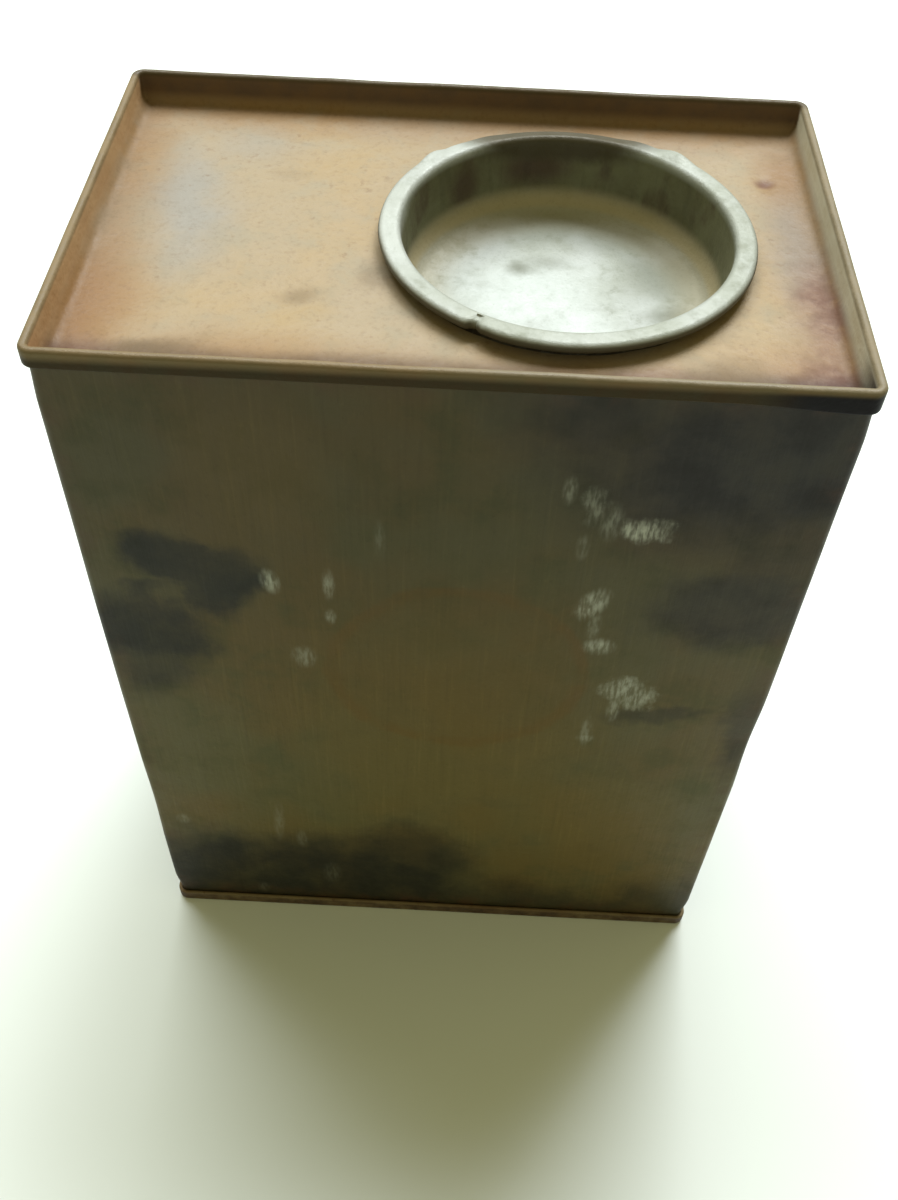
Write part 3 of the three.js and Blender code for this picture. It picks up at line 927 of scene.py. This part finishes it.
def panel_colour(paint, broad, middling, fine, pits, inset):
    """The colour of the recessed panel, and the share of it that is smudged."""

    def top_spot(x, y, radius_x, radius_y, tilt=0, soft=0.7, strength=1.0):
        return paint.spot((x, y, PANEL_TOP), (radius_x, radius_y, 5), (0, 0, tilt), soft, strength)

    colour = paint.tones(broad, (147, 132, 108), (150, 130, 97), 0.4, 0.65)
    pale = paint.times(paint.step(middling, 0.45, 0.7), 0.55)
    colour = paint.mix(pale, colour, linear(144, 137, 121))

    blue = paint.most(
        top_spot(-41, 6, 10, 26, 5, 0.9, 1.0),
        top_spot(-34, 22, 14, 9, 0, 0.9, 0.5),
        top_spot(50, 2, 7, 24, 0, 0.9, 0.9),
    )
    colour = paint.mix(blue, colour, linear(135, 131, 124))
    amber = paint.most(
        top_spot(-49, -20, 12, 20, 0, 0.9, 0.95),
        top_spot(-30, -29, 30, 9, 0, 0.9, 0.6),
        top_spot(45, -27, 14, 10, 0, 0.9, 0.6),
        top_spot(49, 20, 6, 10, 0, 0.9, 0.5),
        top_spot(10, -33, 36, 5, 0, 0.9, 0.6),
    )
    colour = paint.mix(amber, colour, linear(140, 112, 74))

    wander = paint.math("ADD", inset, paint.times(paint.math("SUBTRACT", middling, 0.5), 5))
    colour = paint.shade(paint.step(wander, 13, 2), colour, (0.74, 0.62, 0.52))
    # A darker brown strip along the front of the panel, its strength varied by noise.
    front_edge = paint.math("ADD", paint.y, paint.times(paint.math("SUBTRACT", broad, 0.5), 5))
    front_band = paint.step(front_edge, 9.0 - WALL_Y, 5.0 - WALL_Y)
    darker_front_strip = paint.times(front_band, paint.span(middling, 0.7, 1.2))
    colour = paint.mix(darker_front_strip, colour, linear(84, 64, 41))
    corner_rust = paint.most(
        top_spot(50, -31, 12, 14, 30, 0.9, 0.85),
        top_spot(28, -32, 12, 6, 0, 0.9, 0.7),
        top_spot(-50, -32, 9, 9, 0, 0.9, 0.5),
        top_spot(52, -14, 6, 20, 0, 0.9, 0.8),
    )
    wine = paint.tones(middling, (116, 82, 66), (98, 66, 56), high=0.6)
    broken = paint.span(paint.step(middling, 0.3, 0.6), 0.5, 1)
    colour = paint.mix(paint.times(corner_rust, broken), colour, wine)

    smudges = paint.most(
        top_spot(-22, -15.5, 4.4, 2.8, 20, 0.9, 0.45),
        top_spot(-40, -28, 9, 3.6, 10, 0.9, 0.65),
        top_spot(-11.5, -10, 3, 6, 0, 0.9, 0.45),
        top_spot(36, -29, 9, 5, 10, 0.9, 0.6),
        top_spot(-26, 14, 4, 3, 0, 0.9, 0.15),
    )
    colour = paint.mix(smudges, colour, linear(92, 76, 54))
    dimple_mark = top_spot(*PANEL_DIMPLE, 2.4, 2.0, 0, 0.9, 0.9)
    colour = paint.mix(dimple_mark, colour, linear(92, 58, 42))
    pits_share = paint.times(paint.step(pits, 0.62, 0.78), 0.35)
    colour = paint.mix(pits_share, colour, linear(112, 86, 60))
    colour = paint.shade(paint.times(paint.step(fine, 0.48, 0.72), 0.45), colour, (0.74, 0.69, 0.64))
    return colour, smudges


def rim_colour(paint, middling, seam_face, colour):
    """The colour with the recess walls, the crown of the seam and its outer face laid over it, with
    painted light on the right recess wall and painted shade on the back recess wall, the back of the
    crown and the lower part and right end of the seam's face.
    """
    rise = paint.step(paint.z, PANEL_TOP + 0.4, PANEL_TOP + 2.4)
    left_wall = paint.tones(middling, (174, 142, 108), (182, 152, 118))
    # The right recess wall is painted paler and greyer than the left: painted light.
    painted_light_right_wall = paint.tones(middling, (192, 188, 172), (200, 198, 186))
    side_wall = paint.mix(paint.step(paint.x, -8, 8), left_wall, painted_light_right_wall)
    # The back recess wall is painted dark brown: painted shade, as it faces away from the light.
    painted_shade_back_wall = paint.tones(middling, (90, 75, 62), (102, 82, 62))
    back = paint.step(paint.y, WALL_Y - 2.6, WALL_Y - 0.8)
    colour = paint.mix(rise, colour, paint.mix(back, side_wall, painted_shade_back_wall))
    crown = paint.step(paint.z, HEIGHT - 1.0, HEIGHT - 0.25)
    worn = paint.tones(middling, (98, 86, 62), (112, 98, 72))
    # The back of the crown is painted darker: painted shade.
    worn = paint.mix(back, worn, linear(76, 66, 46))
    colour = paint.mix(paint.times(crown, 0.9), colour, worn)
    face_colour = paint.tones(middling, (106, 94, 68), (112, 94, 68))
    # Below its top the seam's face turns dark: painted shade under the rounded seam.
    painted_shade_lower_face = paint.tones(middling, (52, 46, 28), (56, 45, 28))
    level = paint.math("SUBTRACT", paint.z, paint.times(paint.x, 0.006))
    face_colour = paint.mix(paint.step(level, HEIGHT - 0.3, HEIGHT - 1.8), face_colour, painted_shade_lower_face)
    colour = paint.mix(seam_face, colour, face_colour)
    # The seam's face at the front right end is painted near black: painted shade under the drooping
    # corner.
    painted_shade_right_end = paint.times(paint.step(paint.x, 37, 46), paint.step(paint.y, 10 - WALL_Y, 1 - WALL_Y))
    painted_shade_right_end = paint.times(painted_shade_right_end, paint.step(paint.z, HEIGHT - 0.4, HEIGHT - 1.3))
    return paint.mix(paint.times(painted_shade_right_end, 0.92), colour, linear(20, 20, 25))


def base_lacquer():
    paint = Paint("base_lacquer", 0.0, 0.35)
    broad = paint.noise(22, 4, 31)
    middling = paint.noise(6, 5, 32, roughness=0.65)
    fine = paint.noise(0.8, 3, 33)
    colour = paint.tones(broad, (120, 106, 76), (104, 82, 54), 0.4, 0.62)
    rust_share = paint.step(paint.z, 3.4, 2.2)
    rust = paint.tones(fine, (58, 42, 30), (74, 54, 38), 0.4, 0.62)
    broken = paint.span(paint.step(middling, 0.35, 0.6), 0.35, 0.95)
    colour = paint.mix(paint.times(rust_share, broken), colour, rust)
    pits = paint.step(paint.noise(1.8, 3, 34), 0.62, 0.72)
    colour = paint.mix(paint.times(pits, 0.7), colour, linear(74, 50, 34))
    roughness = paint.span(middling, 0.5, 0.75)
    return paint.finish(colour, roughness, [(middling, 0.2), (fine, 0.06)])


def lid_tin():
    paint = Paint("lid_tin", 0.1, 0.26, wander=1.6)
    broad = paint.noise(13, 4, 41)
    middling = paint.noise(3.4, 5, 42, roughness=0.7)
    fine = paint.noise(0.6, 4, 43, roughness=0.7)
    centre_x, centre_y = LID_CENTRE[:2]
    floor = LID_LOW[2] + SHEET

    def floor_spot(x, y, radius_x, radius_y, soft=0.8, strength=1.0):
        place = (centre_x + x, centre_y + y, floor)
        return paint.spot(place, (radius_x, radius_y, 4), (0, 0, 0), soft, strength)

    colour = paint.tones(broad, (158, 163, 160), (142, 147, 139), 0.38, 0.62)
    colour = paint.mix(paint.times(paint.step(middling, 0.5, 0.72), 0.5), colour, linear(124, 128, 115))
    # The front of the pan's floor is lighter: whitish oxide, with a painted pool of light over it.
    pale_oxide_and_painted_light = paint.most(floor_spot(-5, 0, 17, 13, 0.9, 0.85), floor_spot(2, -8, 10, 9, 0.9, 0.8))
    colour = paint.mix(pale_oxide_and_painted_light, colour, linear(176, 183, 182))
    smudges = paint.most(
        floor_spot(-6, 7, 3.8, 3.2, 0.9, 0.75),
        floor_spot(-2, 9, 6, 3, 0.9, 0.45),
        floor_spot(16, 6, 11, 13, 0.9, 0.55),
        floor_spot(16.5, -4, 6, 5, 0.9, 0.8),
        floor_spot(10, 15, 14, 7, 0.9, 0.25),
        floor_spot(-14, 15, 9, 8, 0.9, 0.2),
    )
    colour = paint.mix(smudges, colour, linear(96, 100, 86))

    reach = paint.length(paint.vector("SUBTRACT", paint.place, (centre_x, centre_y, 0)), (1, 1, 0))
    off_floor = paint.step(paint.z, floor + 1.0, floor + 4.6)
    inside = paint.times(off_floor, paint.step(paint.z, LID_TOP - 0.4, LID_TOP - 1.8))
    green = paint.tones(broad, (90, 89, 64), (104, 105, 80), 0.4, 0.6)
    rust = paint.most(
        paint.times(paint.step(paint.noise(5, 4, 44, (1, 1, 2.2)), 0.5, 0.68), 0.6),
        paint.spot((centre_x - 4, centre_y + 24, LID_TOP - 5), (8, 8, 5), (0, 0, 0), 0.8, 0.9),
        paint.spot((centre_x - 16, centre_y + 18, LID_TOP - 6), (4, 6, 6), (0, 0, 0), 0.8, 0.8),
    )
    tarnish = paint.mix(rust, green, linear(66, 48, 34))
    runs = paint.step(paint.noise(1.6, 3, 45, (1, 1, 7)), 0.5, 0.7)
    tarnish = paint.shade(paint.times(runs, 0.35), tarnish, (0.6, 0.6, 0.6))
    colour = paint.mix(paint.times(inside, 0.96), colour, tarnish)
    fillet = paint.step(paint.z, floor + 0.2, floor + 1.6)
    ochre_band = paint.times(fillet, paint.step(paint.z, floor + 4.8, floor + 2.0))
    floor_edge = paint.times(paint.step(reach, 15, 22), paint.step(paint.z, floor + 4, floor + 1))
    ochre = paint.most(paint.times(floor_edge, 0.4), paint.times(ochre_band, 0.75))
    colour = paint.mix(ochre, colour, linear(168, 155, 121))
    back = paint.spot((centre_x - 2, centre_y + 27, LID_TOP), (24, 10, 5), (0, 0, 0), 0.45, 0.95)
    colour = paint.mix(back, colour, linear(66, 60, 42))
    rubbed = paint.spot((centre_x - 26, centre_y - 2, LID_TOP), (7, 17, 4), (0, 0, 0), 0.8, 0.7)
    colour = paint.mix(rubbed, colour, linear(172, 177, 175))
    colour = paint.shade(paint.times(paint.step(fine, 0.5, 0.74), 0.4), colour, (0.7, 0.7, 0.66))
    # The outer side of the curl is darkened: painted shade under the flange's edge.
    edge = paint.step(reach, LID_RADIUS - 1.6, LID_RADIUS - 0.6)
    outer = paint.times(edge, paint.step(paint.z, LID_TOP - 0.2, LID_TOP - 0.7))
    colour = paint.mix(paint.times(outer, 0.85), colour, linear(66, 62, 48))

    roughness = paint.span(paint.most(smudges, paint.step(middling, 0.4, 0.7)), 0.46, 0.66)
    return paint.finish(colour, roughness, [(broad, 0.25), (middling, 0.16), (fine, 0.06)])


def collar_tin():
    paint = Paint("collar_tin", 0.3, 0.5)
    middling = paint.noise(3, 5, 51, roughness=0.7)
    fine = paint.noise(0.5, 3, 52)
    colour = paint.tones(middling, (128, 120, 98), (88, 74, 52), 0.38, 0.62)
    colour = paint.mix(paint.times(paint.step(fine, 0.55, 0.75), 0.5), colour, linear(104, 66, 42))
    roughness = paint.span(middling, 0.4, 0.7)
    return paint.finish(colour, roughness, [(middling, 0.1), (fine, 0.05)])


def solder():
    paint = Paint("solder", 0.7, 0.5)
    middling = paint.noise(1.6, 4, 61)
    fine = paint.noise(0.35, 3, 62)
    colour = paint.tones(middling, (108, 106, 98), (76, 70, 60), 0.36, 0.64)
    roughness = paint.span(middling, 0.38, 0.62)
    return paint.finish(colour, roughness, [(middling, 0.12), (fine, 0.03)])


def compound():
    paint = Paint("sealing_compound", 0.0, 0.3)
    middling = paint.noise(1.2, 4, 71)
    fine = paint.noise(0.3, 3, 72)
    colour = paint.mix(middling, linear(34, 28, 24), linear(60, 52, 44))
    return paint.finish(colour, paint.span(middling, 0.7, 0.95), [(middling, 0.08), (fine, 0.03)])


def coat(piece, material):
    piece.data.materials.clear()
    piece.data.materials.append(material)


# ---------------------------------------------------------------- stage, lights and camera

def build_stage():
    mesh = bpy.data.meshes.new("floor")
    half = 3.0
    corners = [(-half, -half, 0), (half, -half, 0), (half, half, 0), (-half, half, 0)]
    mesh.from_pydata(corners, [], [(0, 1, 2, 3)])
    floor = bpy.data.objects.new("floor", mesh)
    bpy.context.scene.collection.objects.link(floor)
    material = bpy.data.materials.new("floor_paper")
    material.use_nodes = True
    shader = material.node_tree.nodes["Principled BSDF"]
    shader.inputs["Base Color"].default_value = linear(221, 229, 229)
    shader.inputs["Roughness"].default_value = 0.8
    shader.inputs["Specular IOR Level"].default_value = 0.2
    mesh.materials.append(material)


def add_light(name, place, target, size, energy, colour):
    light = bpy.data.lights.new(name, "AREA")
    light.shape = "RECTANGLE"
    light.size, light.size_y = size
    light.energy = energy
    light.color = colour
    lamp = bpy.data.objects.new(name, light)
    lamp.location = place
    lamp.rotation_euler = (Vector(target) - Vector(place)).to_track_quat("-Z", "Y").to_euler()
    bpy.context.scene.collection.objects.link(lamp)


def build_lights():
    add_light("window_right", (0.55, 1.38, 2.14), (0, 0, 0.05), (1.0, 1.45), 76, (0.96, 0.99, 1.0))
    add_light("window_left", (-0.6, 1.36, 2.14), (0, 0, 0.05), (1.6, 1.45), 60, (0.96, 0.99, 0.97))
    add_light("room", (-0.2, -1.5, 0.75), (0, 0, 0.08), (1.4, 0.9), 0.6, (1.0, 0.9, 0.66))
    world = bpy.data.worlds.new("studio")
    world.use_nodes = True
    background = world.node_tree.nodes["Background"]
    background.inputs["Color"].default_value = (1.0, 0.92, 0.45, 1)
    background.inputs["Strength"].default_value = 0.375
    bpy.context.scene.world = world
    bpy.context.scene.view_settings.view_transform = "Standard"


# Where the camera stands, which way it looks in degrees, and its lens.
CAMERA_PLACE = (2.0, -156.6, 248.7)
CAMERA_PITCH = 49.94
CAMERA_YAW = -0.49
CAMERA_ROLL = 2.55
CAMERA_LENS = 36.77


def build_camera():
    data = bpy.data.cameras.new("camera")
    data.lens = CAMERA_LENS
    data.sensor_width = 36
    data.clip_start = 0.01
    camera = bpy.data.objects.new("camera", data)
    camera.location = [value * MM for value in CAMERA_PLACE]
    pitch = Euler((math.radians(90 - CAMERA_PITCH), 0, math.radians(-CAMERA_YAW))).to_matrix()
    roll = Euler((0, 0, math.radians(CAMERA_ROLL))).to_matrix()
    camera.rotation_euler = (pitch @ roll).to_euler()
    bpy.context.scene.collection.objects.link(camera)
    bpy.context.scene.camera = camera


build_camera()
build_lights()
build_stage()

coat(build_wall(), wall_lacquer())
coat(build_top(), top_lacquer())
coat(build_base(), base_lacquer())
coat(build_collar(), collar_tin())
SOLDER = solder()
coat(build_collar_solder(), SOLDER)
coat(build_lock_solder(), SOLDER)
coat(build_lid(), lid_tin())
COMPOUND = compound()
for node in ("top_seam_compound", "bottom_seam_compound"):
    coat(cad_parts[node], COMPOUND)
